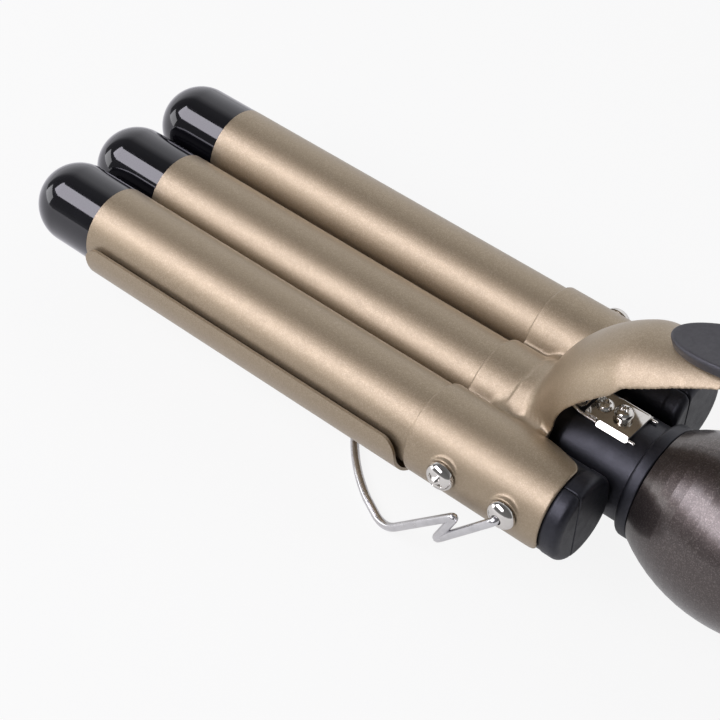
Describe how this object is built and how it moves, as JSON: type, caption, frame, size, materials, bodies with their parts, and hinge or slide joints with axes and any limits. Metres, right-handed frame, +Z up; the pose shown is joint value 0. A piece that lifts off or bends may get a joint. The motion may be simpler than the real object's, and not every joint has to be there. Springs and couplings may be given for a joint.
{
  "type": "hair waver",
  "caption": "Three-barrel hair waver with a sprung, lever-opened upper jaw, a wave plate, a wire stand and a pear-shaped handle with push buttons.",
  "frame": {"origin": "middle of the part's length, on the surface on which the handle's bulb and the stand's foot rest", "axes": "+X along the barrels towards their cool tips, +Z up on the lever side, +Y to the left barrel"},
  "size_m": [0.3824, 0.0922, 0.0898],
  "materials": {
    "champagne_coat": "satin metallic champagne coat on aluminium sheet and tube",
    "tip_gloss": "polished heat-resistant black plastic",
    "black_plastic": "satin black moulded plastic",
    "tab_plastic": "satin dark grey plastic",
    "handle_paint": "dark brown metallic flake paint on moulded plastic",
    "nickel": "bright nickel plate",
    "steel": "plain spring and screw steel",
    "aluminium_core": "extruded aluminium",
    "ceramic": "glazed heating ceramic",
    "board": "green circuit board",
    "red_lens": "dark red translucent lens"
  },
  "bodies": {
    "handle_body": {"handle_shell_left": "handle_paint", "handle_shell_right": "handle_paint", "handle_screws": "steel", "neck_housing": "black_plastic", "collar_ring": "black_plastic", "rear_cap": "black_plastic", "button_panel": "black_plastic", "display_lens": "red_lens", "circuit_board": "board", "tact_switches": "black_plastic", "thermal_fuse": "steel", "middle_barrel": "champagne_coat", "middle_tip": "tip_gloss", "middle_heater": "aluminium_core", "middle_ptc": "ceramic", "wave_plate": "champagne_coat", "plate_rivets": "champagne_coat", "spring_bracket": "nickel", "bracket_screws": "nickel", "jaw_spring": "steel", "pivot_pins": "nickel"},
    "upper_jaw": {"jaw_yoke": "champagne_coat", "left_barrel": "champagne_coat", "right_barrel": "champagne_coat", "left_tip": "tip_gloss", "right_tip": "tip_gloss", "left_plug": "black_plastic", "right_plug": "black_plastic", "left_heater": "aluminium_core", "right_heater": "aluminium_core", "left_ptc": "ceramic", "right_ptc": "ceramic", "sleeve_screws": "nickel", "thumb_tab": "tab_plastic", "tab_screws": "nickel"},
    "stand": {"stand_wire": "nickel"},
    "power_key": {"power_button": "black_plastic"},
    "plus_key": {"plus_button": "black_plastic"},
    "minus_key": {"minus_button": "black_plastic"},
    "cord_swivel": {"swivel_gland": "black_plastic"}
  },
  "joints": [
    {"name": "jaw_hinge", "type": "hinge", "parent": "handle_body", "child": "upper_jaw", "pos_m": [0.00665, 0, 0.0295], "axis": [0, -1, 0], "range_deg": [0, 24], "stiffness_Nm_per_rad": 0.5, "springref_deg": -40.11, "deforming": ["jaw_spring"]},
    {"name": "stand_hinge", "type": "hinge", "parent": "handle_body", "child": "stand", "pos_m": [0.00665, 0, 0.0295], "axis": [0, 1, 0], "range_deg": [0, 125]},
    {"name": "power_press", "type": "slide", "parent": "handle_body", "child": "power_key", "axis": [0, 0, -1], "range_m": [0, 0.0006], "stiffness_N_per_m": 300, "springref_m": -0.0005},
    {"name": "plus_press", "type": "slide", "parent": "handle_body", "child": "plus_key", "axis": [0, 0, -1], "range_m": [0, 0.0006], "stiffness_N_per_m": 300, "springref_m": -0.0005},
    {"name": "minus_press", "type": "slide", "parent": "handle_body", "child": "minus_key", "axis": [0, 0, -1], "range_m": [0, 0.0006], "stiffness_N_per_m": 300, "springref_m": -0.0005},
    {"name": "gland_swivel", "type": "hinge", "parent": "handle_body", "child": "cord_swivel", "pos_m": [-0.18425, 0, 0.0254], "axis": [-1, 0, 0], "continuous": true}
  ]
}
